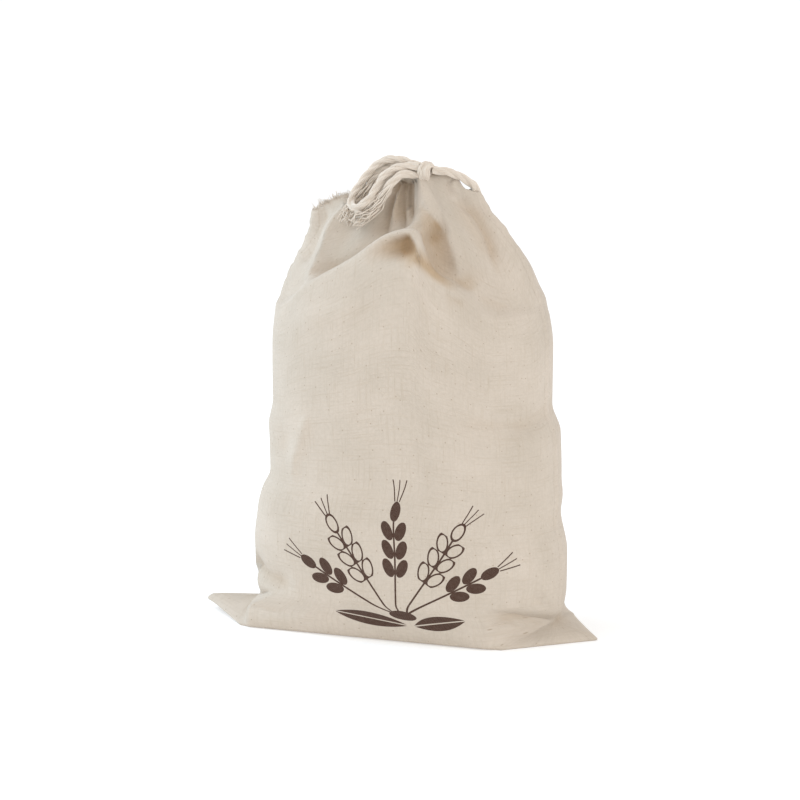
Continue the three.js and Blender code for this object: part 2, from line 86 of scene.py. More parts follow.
# Sections by height: share of the shoulder fold's rise, half width, depth of the front and of the
# back, squareness, reach of the left and right base flaps, and shift to the right
SECTION_COLUMNS = [
    "z", "lift", "half_width", "front", "back", "square", "left_ear", "right_ear", "shift",
]
SECTIONS = np.array([
    (0, 0, 104, 63, 58, 4, 45, 46, 0),
    (3, 0, 105, 63.5, 59, 4, 44, 42, 0),
    (6, 0, 105, 64, 60, 3.8, 41, 33, 1),
    (9, 0, 106, 64, 61, 3.4, 26, 20, 2),
    (13, 0, 107, 64.2, 62, 3, 4, 9, 4),
    (20, 0, 110.5, 64.5, 63, 2.7, 0, 3, 9.5),
    (32, 0, 113, 65.5, 64.5, 2.5, 0, 0, 9),
    (60, 0, 114, 67, 67, 2.4, 0, 0, 8.5),
    (85, 0.03, 110, 68, 68, 2.4, 0, 0, 7.5),
    (98, 0.06, 108.8, 68.5, 68.5, 2.4, 0, 0, 9.8),
    (112, 0.1, 105, 69, 69, 2.4, 0, 0, 12.5),
    (144, 0.25, 105, 69, 70, 2.4, 0, 0, 11.5),
    (163, 0.36, 100, 69, 70, 2.4, 0, 0, 10),
    (205, 0.8, 100.5, 66, 68, 2.4, 0, 0, 10),
    (226, 0.98, 98.5, 61, 65, 2.4, 0, 0, 9.5),
    (231, 1, 97.6, 58, 64.2, 2.4, 0, 0, 9),
    (233, 0.98, 97.2, 52, 63.8, 2.4, 0, 0, 9),
    (237, 0.88, 96.5, 40, 63, 2.4, 0, 0, 9),
    (250, 0.74, 92.5, 32, 58, 2.3, 0, 0, 8),
    (265, 0.56, 87.5, 26, 51, 2.2, 0, 0, 7.8),
    (280, 0.4, 80.5, 21, 41, 2.2, 0, 0, 6.5),
    (295, 0.25, 73, 17, 30, 2.1, 0, 0, 4),
    (308, 0.12, 66, 12.5, 18, 2.0, 0, 0, 0),
    (MOUTH_HEIGHT, 0, MOUTH_HALF_WIDTH, 9.5, 9.5, 2.0, 0, 0, -2.5),
])

# Shoulder fold across the front: place across the bag, rise over its two ends
SHOULDER_FOLD = np.array([
    (-86, 0), (-76, 5), (-66, 14), (-49, 24.5), (-36, 31.5), (-23, 39), (-9, 49), (1, 55.5), (9, 58.5),
    (16, 60), (21, 59.5), (25, 56), (30, 42), (34, 33.5), (39, 28), (46, 23), (57, 14), (68, 4), (76, 0),
])

# Creased outline of a panel near the floor by height. For the left and then the right side: x and
# depth of the flap's crease, x and depth of the body's corner, and depth of the face.
FRONT_BASE = np.array([
    (0, -106, 46, -97, 47.5, 49, 95, 52, 84, 53, 52),
    (4, -105.5, 36, -98, 49, 51, 101, 41, 84, 55.5, 54.5),
    (9, -107, 18, -99, 47, 54, 110, 22, 83, 57, 57.5),
    (13.5, -106, 12, -101, 40, 56, 118, 8, 84, 57, 59),
])
BACK_BASE = np.array([
    (0, -108, 48, -98, 52, 56, 117, 54, 106, 57, 58),
    (4, -108, 40, -99, 53, 58, 117, 50, 107, 56, 60),
    (9, -109, 20, -100, 50, 60, 118, 40, 108, 54, 61),
    (13.5, -106, 12, -101, 44, 61, 119, 18, 109, 51, 62),
])
BASE_PLACES = [0, 24, 27, 44, 73, 97, 102, PANEL_COLUMNS]  # columns of the panel at its corners
BASE_FACE_X = (-50, 35)  # x of the face's two ends
BASE_CREASED = 12  # the base has its creased outline up to this height
BASE_ROUND = 30  # and none of it above this one
BASE_ROLL = 2  # height of the rolled-under edge along the floor
BASE_ROLL_IN = 2.6  # and how far it goes in

# How far the hem stands up: place across the mouth, rise
FRONT_RIM = np.array([
    (-62, 0), (-46, -1), (-38, -2), (-30, -4), (-22, -4), (-14, 0), (-6, 4), (2, 8.5), (9, 7.6),
    (14, 9.4), (20, 8.4), (26, 10), (33, 8.6), (38, 8), (42, 7), (46, 6.6), (49, 5), (51.5, 1.8),
    (54, 0), (57, 0.2), (62, 0),
])
BACK_RIM = np.array([
    (-62, 0), (-46, -1), (-38, -2), (-30, -4), (-22, -4), (-12, 1), (18, 2), (36, 1.5), (43, -2), (50, -3),
    (56, 0), (62, 0),
])
RIM_REACH = 26  # height over which the hem's uneven edge sets in

# Large pleats of the back: place across the flat panel, half width, height, reach
BACK_PLEATS = [
    (-118, 16, 4, 70), (-80, 14, -6, 90), (-45, 12, 5, 60), (-12, 11, -6, 50), (22, 12, 5, 70),
    (58, 12, -6, 85), (95, 15, 6, 75), (125, 11, -4, 60),
]

# Folds: height, half width on the line's left and right, power of the flanks, shares of the length
# that fade in and out, and the line as x and z. Those of the face lie below the shoulder fold and
# move level, and those of the neck lie above it and stand out of the cloth.
FACE_FOLDS = [
    # Pocket under the shoulder fold's top, and the end of its right half
    (-15, 8, 9, 3, 0.7, 0.24, [(-6, 274), (2, 276.5), (12, 278.5), (22, 280), (30, 282), (40, 284.5)]),
    (-3, 6, 6, 2, 0.5, 0.3, [(50, 256), (61, 249), (70, 242)]),
    # Creases and soft swells
    (-1.6, 4, 6, 1.5, 0.4, 0.05, [(54, 159), (73, 159), (91, 157), (105, 154.5), (112, 153)]),
    (-1.2, 4.5, 4.5, 2, 0.5, 0.4, [(96, 156), (102, 155), (110, 153.5)]),
    (1.5, 9, 9, 2, 0.3, 0.3, [(60, 147), (85, 146), (105, 142)]),
    (2.4, 4, 6, 1.3, 0.1, 0.3, [(-45, 160), (-48, 148), (-53, 136), (-57, 125), (-60, 108)]),
    (-3, 10, 10, 2, 0.3, 0.3, [(-66, 152), (-70, 138), (-74, 124)]),
    (2, 8, 8, 2, 0.3, 0.3, [(-62, 225), (-35, 229), (-11, 235), (0, 241)]),
    # Valleys over the base flaps
    (-6, 7, 6, 1.6, 0.02, 0.45, [(-101, 43), (-93, 40), (-84, 37.5), (-69, 37), (-54, 38)]),
    (-4, 5, 9, 1.6, 0.05, 0.3, [(119, 33), (112, 30), (104, 26), (94, 20), (84, 12)]),
]
NECK_FOLDS = [
    # Pleat that bounds the pocket
    (5, 3.5, 2, 1.5, 0.02, 0.2, [(19, 322), (20, 313), (22, 304), (26, 297), (31, 291), (35, 284)]),
    # Valleys behind the two halves of the shoulder fold
    (-6, 5, 4, 1.8, 0.15, 0.1,
     [(-54, 250), (-44, 257), (-30, 265), (-16, 274), (-5, 283), (6, 291), (15, 295), (24, 297)]),
    (-3.5, 9, 4, 1.8, 0.5, 0.4, [(38, 271), (46, 264), (54, 258.5), (62, 252), (68, 246)]),
    # Valley beside the pleat and the dark tuck under the broad one
    (-4, 6, 6, 2, 0.25, 0.4, [(23.5, 303), (28, 296), (33, 288), (38.5, 277), (45, 266), (55, 255)]),
    (-4, 2.2, 5, 1.6, 0.4, 0.3, [(29, 298), (33.5, 293.5), (37, 289.5), (40, 285), (43, 280)]),
    # Broad pleat, its crisp left edge and the valley on its right
    (5, 12, 12, 3, 0.02, 0.35,
     [(27, 327), (29, 316), (36, 306), (43, 296.5), (51, 287), (58, 276), (64, 265), (70, 254)]),
    (4.5, 8, 2, 1.3, 0.05, 0.3,
     [(22, 326), (23.5, 314), (26, 306), (29, 299.5), (35, 293), (41.5, 285), (47, 275), (52, 266),
      (58, 257), (65, 248)]),
    (-7, 11, 3, 1.7, 0.4, 0.35,
     [(36, 314), (46, 306), (58, 299), (66, 289), (72, 278), (78, 265), (84, 251)]),
    (2.5, 10, 10, 2, 0.1, 0.3, [(55, 314), (66, 302), (77, 288), (85, 274), (92, 259)]),
    # Left wing
    (4.5, 5, 4, 1.2, 0.05, 0.2,
     [(-33, 303), (-38, 296), (-44, 289), (-47, 282), (-48, 275), (-50, 266), (-53, 256), (-59, 246)]),
    (-4, 5, 7, 2, 0.2, 0.3, [(-48, 299), (-55, 292), (-59, 284), (-62, 275), (-65, 265), (-68, 256)]),
    (-2.5, 9, 9, 2, 0.1, 0.2, [(-28, 290), (-31, 281), (-36, 270), (-42, 259)]),
    # Gathers under the knot
    (-6, 3, 3, 1.5, 0.01, 0.3, [(5, 320), (2, 309), (0, 300), (-3, 291), (-7, 282)]),
    (4, 2.5, 2.5, 1.5, 0.01, 0.3, [(6.5, 320), (5.5, 309), (5, 299), (4, 291)]),
    (-6, 2.2, 2.2, 1.5, 0.01, 0.3, [(8, 321), (9, 308), (10.5, 298), (11, 290)]),
    (-6, 1.7, 1.7, 1.5, 0.01, 0.3, [(11, 321), (13, 309), (13.5, 301)]),
    (-6, 2, 2, 1.5, 0.01, 0.3, [(14, 321), (16, 307), (19, 295)]),
    (-6, 2, 2, 1.5, 0.01, 0.3, [(18.5, 321), (21, 306), (23, 297)]),
    (-2, 2, 2, 1.5, 0.01, 0.4, [(39, 320), (41, 314), (45, 309)]),
    (3, 2.5, 2.5, 1.4, 0.01, 0.4, [(43, 321), (46, 314), (51, 309)]),
    (4, 4, 3, 1.4, 0.1, 0.3, [(4, 315), (-1, 309), (-6, 303), (-13, 296), (-21, 289)]),
]

# Painted shade: darker, browner cloth painted deep in the folds, where shadow falls and light
# bounces between the layers. Rows as above, with a strength for the height. Those of the crest lie
# on the face too, and run up to the shoulder fold's edge.
FACE_PAINTED_SHADE = [
    (0.6, 8, 8, 3, 0.7, 0.05, [(-4, 276), (4, 278), (10, 279), (17, 279.5), (24, 281), (32, 286)]),
    (0.3, 5, 5, 2, 0.5, 0.4, [(58, 251), (65, 245), (70, 240)]),
]
CREST_PAINTED_SHADE = [
    (0.75, 5, 7, 2, 0.35, 0.3, [(18, 278.5), (25, 277.5), (30, 275.5), (34, 272), (38, 268)]),
    (0.9, 5, 2.5, 2, 0.2, 0.5,
     [(33, 275), (38, 269.5), (42, 265.5), (46, 261.5), (50, 258.5), (56, 254), (63, 248)]),
]
NECK_PAINTED_SHADE = [
    (0.25, 7, 6, 3, 0.2, 0.6, [(26, 299), (31, 290), (33, 282), (38, 272.5), (45.5, 263), (58, 252.5)]),
    (0.36, 1.2, 11, 2, 0.2, 0.65,
     [(26, 311), (27.3, 304.6), (31, 301), (37, 294), (40, 289), (46.5, 280), (51.5, 267.5), (56, 256),
      (64, 248)]),
    (0.35, 1.2, 2.5, 2, 0.4, 0.4, [(35, 296.5), (38, 292.5), (40.5, 288.5), (42, 286)]),
    (0.3, 7, 5, 2, 0.5, 0.3, [(52, 259), (60, 251.5), (67, 245)]),
    (0.25, 6, 5, 2, 0.3, 0.4, [(42, 309), (55, 299), (64, 288), (71, 275), (77, 259)]),
    (0.4, 8, 8, 2, 0.02, 0.3, [(6, 320), (7, 308), (9, 298), (13, 290)]),
    (0.12, 6, 12, 2, 0.2, 0.4,
     [(14, 290), (-3, 287), (-16, 279.5), (-28, 270.5), (-41, 261.5), (-53, 253)]),
]
FOLD_SEAM_MARGIN = 0.03  # share of a half panel beside each seam without folds
FOLD_RIM_SHARE = 0.5  # share of a fold's height left at the mouth's edge
FOLD_RIM_RISE = 12  # distance below the edge where it has its full height
FOLD_STEP = 1.0  # length of one step along a fold's line
FOLD_SMOOTH = 5  # grid steps over which a fold's direction is evened
SHOULDER_ROW = 232  # height at the seams of the shoulder fold's crest
SHOULDER_BLEND = 5  # height over which the folds of the neck set in above it
SHOULDER_LIP = 7  # height over which the folds of the face run out below it
VALLEY_STEPS = 6  # grid steps over which a valley's depth is judged, for the painted shade
VALLEY_DEPTH = 12  # depth of a valley whose painted shade counts in full

# Side seams
SEAM_HEIGHT = 1.2
SEAM_HALF_WIDTH = 3
SEAM_LOW = 16  # no seam ridge on the base flaps
PUCKERS = [(0.3, 17, 0), (0.2, 7.7, 1)]  # height, pitch, phase
PUCKER_REACH = 10  # distance from the seam over which the puckers run out

# Lay of the flat cloth
LAY_FROM = 44  # columns between which a panel's length is measured
LAY_TO = 97
SIDE_SHARE = 0.25  # of a panel's half, over which the front's length turns into the back's

# Threads of the torn hem
FRINGE_FROM = -0.99  # places across a panel, from -1 to 1, between which there are threads
FRINGE_TO = -0.5
FRINGE_COUNT = 360  # on each panel
FRINGE_LENGTH = (0.9, 2.8)
FRINGE_RADIUS = 0.26
FRINGE_TIP = 0.6  # share of the radius left at the tip
FRINGE_STRAY = 0.6  # how much they lean off the cloth's direction
FRINGE_BEND = 1.6  # how much they curl
FRINGE_ROWS = 2  # rows of the grid below the edge that give the cloth's direction
FRINGE_STEPS = 5
FRINGE_SIDES = 4

# Drawstring
CORD_DIAMETER = 6.2
CORD_PITCH = 34  # length of one turn of the plies
PLIES = 3
PLY_RADIUS = 0.275  # of the cord's diameter
YARNS = 8  # in a ply
YARN_RADIUS = 0.082  # of the cord's diameter
YARN_PITCH = 38  # length of one turn of a ply's yarns, the other way
YARN_SIDES = 6
FRAY_LENGTH = 44  # length over which a tail's end comes undone
FRAY_SPREAD = (0.5, 2.0)  # least and most that its yarns open, as a share of the cord
FRAY_DRIFT = 1.8  # how far they stray sideways
FRAY_WAVE = 0.6  # height of their waves
FRAY_WAVE_PITCH = 9
FRAY_THIN = 0.3  # share of a yarn's radius that fraying takes off
FRAY_REACH = 5.3  # most that a frayed yarn stands off its cord's line
FRAY_TRIM = 9  # every other frayed yarn is shorter by fewer steps than this
CORD_STEP = 0.9  # length of one step along a cord
KNOT_AXIS = np.array([(20, -18, 328.6), (32.2, -18, 327.6)])
KNOT_COIL_RADIUS = 4.1  # of the line along the middle of the cord
KNOT_TURNS = 2
KNOT_START = 2.2  # angle at which the coil starts
KNOT_STEPS = 160
ROUTES = {
    "drawstring_upper": [
        (33.9, -15, 328.6), (38, -12.6, 328), (42.6, -9.6, 326.6), (46.6, -7, 324.6),
        (50.2, -4.6, 322.2), (53.2, -2.2, 320), (55.4, -0.2, 317.6), (56.6, 1, 314.6),
    ],
    "bow_loop": [
        (19, -15.2, 331.6), (14, -15, 333.2), (8, -15, 334.8), (0.6, -15.6, 335.4),
        (-6.8, -16, 333.4), (-13.2, -16.4, 328.4), (-18.2, -17.4, 322.6), (-22.6, -18.6, 316.4),
        (-26, -20.6, 310.2), (-26.2, -25.2, 304.8), (-21, -30.2, 302.4), (-14, -32.4, 305.4),
        (-8.8, -31, 310.8), (-5.4, -28.2, 317.4), (-1.6, -25.4, 324.4), (5, -23.4, 329.4),
        (12.4, -21.8, 331.4), (19, -20.8, 331.4),
    ],
    "tail_front": [
        (18.4, -20.9, 325.9), (14.6, -23, 326.4), (9.8, -26, 324.8), (5.4, -28.2, 320.4),
        (1.4, -29.6, 313.8), (-4, -30.4, 306.4), (-10.4, -30.8, 300.2), (-17.4, -31, 295.2),
        (-23, -31, 291.4),
    ],
    "tail_back": [
        (18.2, -15, 326.4), (13.4, -14, 328.4), (6.8, -13.2, 330.2), (0.4, -13, 330.6),
        (-5, -13.4, 329), (-10, -13.8, 325), (-14.6, -14.8, 319.8), (-18.7, -16, 314),
        (-23.4, -16.8, 307.4), (-27.8, -18, 301), (-31, -20, 295), (-32.6, -22.4, 290.5),
    ],
}
ROUTE_STEPS = 24  # points between two of a route's before even spacing
FRAYED = ("tail_front", "tail_back")
KNOT_LEAD = 4  # how far a cord's end runs on into the knot
HEM_LEAD = 6  # and into the hem
END_LEADS = {"drawstring_upper": HEM_LEAD, "bow_loop": KNOT_LEAD, "tail_front": 0, "tail_back": 0}


def aimed(obj, place, target):
    """Puts an object at a place and turns its -Z axis to a target."""
    obj.location = place
    obj.rotation_mode = "QUATERNION"
    obj.rotation_quaternion = (Vector(target) - Vector(place)).to_track_quat("-Z", "Y")
    bpy.context.scene.collection.objects.link(obj)
    return obj


def add_camera():
    data = bpy.data.cameras.new("camera")
    data.sensor_width = SENSOR
    data.lens = SENSOR * DISTANCE / VIEW_WIDTH
    data.clip_end = CLIP_END
    back = Vector((
        math.sin(AZIMUTH) * math.cos(ELEVATION),
        -math.cos(AZIMUTH) * math.cos(ELEVATION),
        math.sin(ELEVATION),
    ))
    camera = aimed(bpy.data.objects.new("camera", data), TARGET + back * DISTANCE, TARGET)
    bpy.context.scene.camera = camera


def add_mesh(name, points, faces, coordinates, painted_shade=None):
    """A smooth mesh piece from points in millimetres, with its texture coordinates and painted shade as
    attributes.
    """
    mesh = bpy.data.meshes.new(name)
    mesh.from_pydata((np.asarray(points) * MM).tolist(), [], faces)
    mesh.polygons.foreach_set("use_smooth", [True] * len(mesh.polygons))
    layer = mesh.attributes.new("lay", "FLOAT_VECTOR", "POINT")
    layer.data.foreach_set("vector", np.asarray(coordinates, np.float32).ravel())
    # strength of the painted shade deep in the folds
    if painted_shade is not None:
        layer = mesh.attributes.new("painted_fold_shade", "FLOAT", "POINT")
        layer.data.foreach_set("value", np.asarray(painted_shade, np.float32).ravel())
    mesh.update()
    piece = bpy.data.objects.new(name, mesh)
    bpy.context.scene.collection.objects.link(piece)
    return piece


def smoothstep(start, end, x):
    t = np.clip((x - start) / (end - start), 0, 1)
    return t * t * (3 - 2 * t)


def table_curve(table, column, x):
    """Monotone cubic curve through one column of a table, by its first column."""
    xs = table[:, 0]
    ys = table[:, column]
    gaps = np.diff(xs)
    slopes = np.diff(ys) / gaps
    tangents = np.zeros_like(ys)
    for i in range(1, len(xs) - 1):
        if slopes[i - 1] * slopes[i] > 0:
            before = 2 * gaps[i] + gaps[i - 1]
            after = gaps[i] + 2 * gaps[i - 1]
            tangents[i] = (before + after) / (before / slopes[i - 1] + after / slopes[i])
    tangents[0] = slopes[0]
    tangents[-1] = slopes[-1]
    x = np.clip(x, xs[0], xs[-1])
    i = np.clip(np.searchsorted(xs, x, side="right") - 1, 0, len(gaps) - 1)
    t = (x - xs[i]) / gaps[i]
    return (
        ys[i] * (1 + 2 * t) * (1 - t) ** 2 + gaps[i] * tangents[i] * t * (1 - t) ** 2
        + ys[i + 1] * t * t * (3 - 2 * t) + gaps[i] * tangents[i + 1] * t * t * (t - 1)
    )


def section(name, z):
    return table_curve(SECTIONS, SECTION_COLUMNS.index(name), z)


# Cords

def run_along(path):
    """Length of a path up to each of its points."""
    return np.concatenate([[0], np.cumsum(np.linalg.norm(np.diff(path, axis=0), axis=1))])


def smooth_path(points, step):
    """Points a step apart on a Catmull-Rom curve through the given ones."""
    p = np.asarray(points, float)
    padded = np.vstack([2 * p[0] - p[1], p, 2 * p[-1] - p[-2]])
    t = np.linspace(0, 1, ROUTE_STEPS, endpoint=False)[:, None]
    spans = []
    for a, b, c, d in zip(padded, padded[1:], padded[2:], padded[3:]):
        spans.append(b + t / 2 * (c - a + t * (2 * a - 5 * b + 4 * c - d + t * (3 * (b - c) + d - a))))
    fine = np.vstack(spans + [p[-1:]])
    run = run_along(fine)
    places = np.linspace(0, run[-1], max(2, round(run[-1] / step) + 1))
    return np.stack([np.interp(places, run, column) for column in fine.T], axis=1)


def unit(v):
    return v / np.maximum(np.linalg.norm(v, axis=-1, keepdims=True), TINY)


def frames_along(path):
    """Two directions across a path at each point, carried along it without twist."""
    tangents = unit(np.gradient(path, axis=0))
    across = np.zeros_like(path)
    start = np.eye(3)[np.argmin(np.abs(tangents[0]))]
    for i, tangent in enumerate(tangents):
        start = unit(start - tangent * (start @ tangent))
        across[i] = start
    return across, np.cross(tangents, across)


class Strands:
    """Tubes gathered into one mesh."""

    def __init__(self):
        self.points = []
        self.faces = []
        self.lay = []
        self.count = 0

    def add(self, path, radii, sides):
        """A tube along a path, with flat ends. Its coordinates are angle, length and its number."""
        across, up = frames_along(path)
        run = run_along(path)
        number = len(self.points)
        angles = np.linspace(0, 2 * np.pi, sides, endpoint=False)
        radial = across[:, None] * np.cos(angles)[:, None] + up[:, None] * np.sin(angles)[:, None]
        rings = path[:, None] + radial * np.broadcast_to(radii, run.shape)[:, None, None]
        first = self.count
        self.points.append(rings.reshape(-1, 3))
        lay = np.broadcast_arrays(angles[None], run[:, None], number)
        self.lay.append(np.stack(lay, axis=2).reshape(-1, 3))
        self.count += len(path) * sides
        for low in range(first, self.count - sides, sides):
            for k in range(sides):
                n = (k + 1) % sides
                self.faces.append((low + k, low + n, low + sides + n, low + sides + k))
        self.faces.append(tuple(range(first + sides - 1, first - 1, -1)))
        self.faces.append(tuple(range(self.count - sides, self.count)))

    def piece(self, name):
        return add_mesh(name, np.concatenate(self.points), self.faces, np.concatenate(self.lay))


def led_on(route, start, end):
    """A route with its two ends drawn out by these lengths."""
    p = np.asarray(route, float)
    first = p[0] + start * unit(p[0] - p[1])
    last = p[-1] + end * unit(p[-1] - p[-2])
    return np.vstack([first, p] + ([last] if end else []))


def add_twisted(strands, path, frayed=False):
    """Plies laid around a path, each of yarns twisted the other way."""
    across, up = frames_along(path)
    run = run_along(path)
    loose = smoothstep(run[-1] - FRAY_LENGTH, run[-1], run) * frayed
    ply_centre = CORD_DIAMETER * (0.5 - PLY_RADIUS)
    yarn_radius = CORD_DIAMETER * YARN_RADIUS
    yarn_centre = CORD_DIAMETER * PLY_RADIUS - yarn_radius
    for ply in range(PLIES):
        lay = 2 * np.pi * (ply / PLIES + run / CORD_PITCH)
        for yarn in range(YARNS):
            turn = 2 * np.pi * (yarn / YARNS - run / YARN_PITCH)
            spread = 1 + loose * RANDOM.uniform(*FRAY_SPREAD)
            wave = FRAY_WAVE * np.sin(2 * np.pi * (run / FRAY_WAVE_PITCH + RANDOM.uniform(0, 1)))
            drift = (RANDOM.normal(0, FRAY_DRIFT, 2)[:, None] + wave) * loose
            aside = (ply_centre * np.cos(lay) + yarn_centre * np.cos(turn)) * spread + drift[0]
            above = (ply_centre * np.sin(lay) + yarn_centre * np.sin(turn)) * spread + drift[1]
            held = np.minimum(1, FRAY_REACH / np.hypot(aside, above))
            centre = path + across * (aside * held)[:, None] + up * (above * held)[:, None]
            trim = RANDOM.integers(0, FRAY_TRIM)
            steps = len(path) - (trim if frayed and yarn % 2 else 0)
            radii = yarn_radius * (1 - FRAY_THIN * loose)
            strands.add(centre[:steps], radii[:steps], YARN_SIDES)


def knot_path():
    """Coil of the cord around the knot's axis."""
    start, end = KNOT_AXIS
    axis = unit(end - start)
    side = unit(np.cross(axis, (0, 0, 1)))
    top = np.cross(side, axis)
    turns = np.linspace(0, 1, KNOT_STEPS)
    angle = 2 * np.pi * KNOT_TURNS * turns + KNOT_START
    inset = (CORD_DIAMETER / 2) * axis
    middle = start + inset + turns[:, None] * (end - start - 2 * inset)
    return middle + KNOT_COIL_RADIUS * (np.cos(angle)[:, None] * side + np.sin(angle)[:, None] * top)


RANDOM = np.random.default_rng(SEED)
add_camera()

cords = {}
for cord_name, route in ROUTES.items():
    cord_path = smooth_path(led_on(route, KNOT_LEAD, END_LEADS[cord_name]), CORD_STEP)
    cord_strands = Strands()
    add_twisted(cord_strands, cord_path, cord_name in FRAYED)
    cords[cord_name] = (cord_strands.piece("cord_" + cord_name), cord_path)

knot_strands = Strands()
add_twisted(knot_strands, knot_path())
knot = knot_strands.piece("knot_wraps")


# Cloth pieces

def row_heights():
    bands = [np.linspace(low, high, rows, endpoint=False) for low, high, rows in ROW_BANDS]
    return np.concatenate(bands + [[MOUTH_HEIGHT]])


def half_section(z, depth):
    """Half section of the bag at one height, left seam to right, as x, y and share of its length."""
    angle = np.linspace(0, np.pi, ARC_STEPS + 1)
    power = 2 / section("square", z)
    across = -np.cos(angle)
    x = np.sign(across) * section("half_width", z) * np.abs(across) ** power
    y = depth * np.clip(np.sin(angle), 0, 1) ** power
    run = np.concatenate([[0], np.cumsum(np.hypot(np.diff(x), np.diff(y)))])
    return x, y, run / run[-1]


def base_outline(table, z):
    """Creased outline of a panel near the floor, as x and depth at its corners."""
    row = [table_curve(table, column, z) for column in range(1, table.shape[1])]
    left_x, left_y, left_body_x, left_body_y, left_face, *right = row
    right_x, right_y, right_body_x, right_body_y, right_face = right
    shift = section("shift", z)
    left_tip = -section("half_width", z) - section("left_ear", z)
    right_tip = section("half_width", z) + section("right_ear", z)
    inner = np.array([left_x, left_body_x, *BASE_FACE_X, right_body_x, right_x]) - shift
    x = np.concatenate([[left_tip], inner, [right_tip]])
    return x, [0, left_y, left_body_y, left_face, right_face, right_body_y, right_y, 0]


def back_pleats(s, z):
    """How far the back's pleats stand out at places across the panel, at one height."""
    below = MOUTH_HEIGHT - z
    u = s * PANEL_WIDTH / 2
    relief = np.zeros_like(s)
    for at, half_width, height, reach in BACK_PLEATS:
        fade = 1 - smoothstep(PLEAT_FADE * reach, reach, below)
        relief += height * np.exp(-(((u - at) / half_width) ** 2)) * fade
    rim = RIM_PLEAT_SHARE + (1 - RIM_PLEAT_SHARE) * smoothstep(0, PLEAT_RISE, below)
    return relief * rim * smoothstep(1, 1 - SEAM_MARGIN, np.abs(s))


def panel_points(places, heights, front):
    """Points of one panel's large form, as rows from the floor up."""
    rows = []
    for z in heights:
        depth = section("front" if front else "back", z)
        x, y, share = half_section(z, depth)
        drawn = smoothstep(NECK_HEIGHT, MOUTH_HEIGHT, z)
        packed = (1 - drawn / 2) * places + (drawn / 2) * places ** 3
        place = packed + (GATHER_X / MOUTH_HALF_WIDTH) * drawn * (1 - places ** 2)
        at = (np.clip(place, -1, 1) + 1) / 2
        plan_x = np.interp(at, share, x)
        plan_y = np.interp(at, share, y)
        creased = 1 - smoothstep(BASE_CREASED, BASE_ROUND, z)
        base_x, base_y = base_outline(FRONT_BASE if front else BACK_BASE, z)
        plan_x += creased * (np.interp(at * PANEL_COLUMNS, BASE_PLACES, base_x) - plan_x)
        plan_y += creased * (np.interp(at * PANEL_COLUMNS, BASE_PLACES, base_y) - plan_y)
        along = unit(np.stack([np.gradient(plan_x), np.gradient(plan_y)], axis=1))
        relief = 0 if front else back_pleats(places, z)
        px = plan_x - along[:, 1] * relief
        py = plan_y + along[:, 0] * relief
        left = LEFT_DROOP * np.clip((GATHER_X - px) / (GATHER_X + MOUTH_HALF_WIDTH), 0, 1) ** DROOP_POWER
        right = RIGHT_DROOP * np.clip((px - GATHER_X) / (MOUTH_HALF_WIDTH - GATHER_X), 0, 1) ** DROOP_POWER
        lift = LEFT_EAR_LIFT * smoothstep(LEFT_EAR_START, PANEL_WIDTH / 2, -px)
        lift = lift * smoothstep(EAR_TOP, EAR_FULL_LIFT, z)
        rise = section("lift", z) * table_curve(SHOULDER_FOLD, 1, plan_x) if front else 0
        ruffle = table_curve(FRONT_RIM if front else BACK_RIM, 1, px)
        ruffle = ruffle * smoothstep(MOUTH_HEIGHT - RIM_REACH, MOUTH_HEIGHT, z)
        pz = z + rise - (left + right) * drawn + lift + ruffle
        rows.append(np.stack([px + section("shift", z), -py if front else py, pz], axis=1))
    return np.array(rows)


def fold_relief(folds, points, places, heights):
    """How far folds stand out at each point of a panel, or how strong their painted shade is."""
    x = points[..., 0]
    z = points[..., 2]
    relief = np.zeros_like(x)
    for height, left_width, right_width, power, fade_in, fade_out, line in folds:
        path = smooth_path(line, FOLD_STEP)
        heading = unit(np.gradient(path, axis=0))
        distance = np.full_like(x, np.inf)
        share = np.zeros_like(x)
        width = np.zeros_like(x)
        for i, (at, way) in enumerate(zip(path, heading)):
            away = np.hypot(x - at[0], z - at[1])
            nearer = away < distance
            on_left = way[0] * (z - at[1]) > way[1] * (x - at[0])
            distance[nearer] = away[nearer]
            share[nearer] = i / (len(path) - 1)
            width[nearer] = np.where(on_left, left_width, right_width)[nearer]
        ends = smoothstep(0, fade_in, share) * smoothstep(1, 1 - fade_out, share)
        relief += height * np.exp(-((distance / width) ** power)) * ends
    rim = FOLD_RIM_SHARE + (1 - FOLD_RIM_SHARE) * smoothstep(0, FOLD_RIM_RISE, MOUTH_HEIGHT - heights)
    return relief * rim[:, None] * smoothstep(1, 1 - FOLD_SEAM_MARGIN, np.abs(places))


def grid_normals(rings):
    """Outward directions on closed rings of points."""
    along = np.roll(rings, -1, axis=1) - np.roll(rings, 1, axis=1)
    up = np.gradient(rings, axis=0)
    return unit(np.cross(along, up))


def seam_relief(places, heights):
    """Ridge and puckers of the side seams on rings of points."""
    edge = (1 - np.abs(places)) * PANEL_WIDTH / 2
    ridge = SEAM_HEIGHT * np.exp(-((edge / SEAM_HALF_WIDTH) ** 2))
    wave = sum(height * np.sin(2 * np.pi * heights / pitch + phase) for height, pitch, phase in PUCKERS)
    fade = smoothstep(SEAM_LOW, 2 * SEAM_LOW, heights)
    return fade[:, None] * (ridge + wave[:, None] * np.exp(-((edge / PUCKER_REACH) ** 2)))


def blurred(rings, steps):
    """Mean of each point's neighbours on closed rings, this many grid steps to each side."""
    window = range(-steps, steps + 1)
    around = sum(np.roll(rings, k, axis=1) for k in window) / len(window)
    padded = np.pad(around, ((steps, steps), (0, 0), (0, 0)), mode="edge")
    return sum(padded[k + steps:k + steps + len(rings)] for k in window) / len(window)


def lengths_up(columns):
    """Mean length of columns of points from the floor to each row."""
    steps = np.linalg.norm(np.diff(columns, axis=0), axis=2).mean(axis=1)
    return np.concatenate([[0], np.cumsum(steps)])


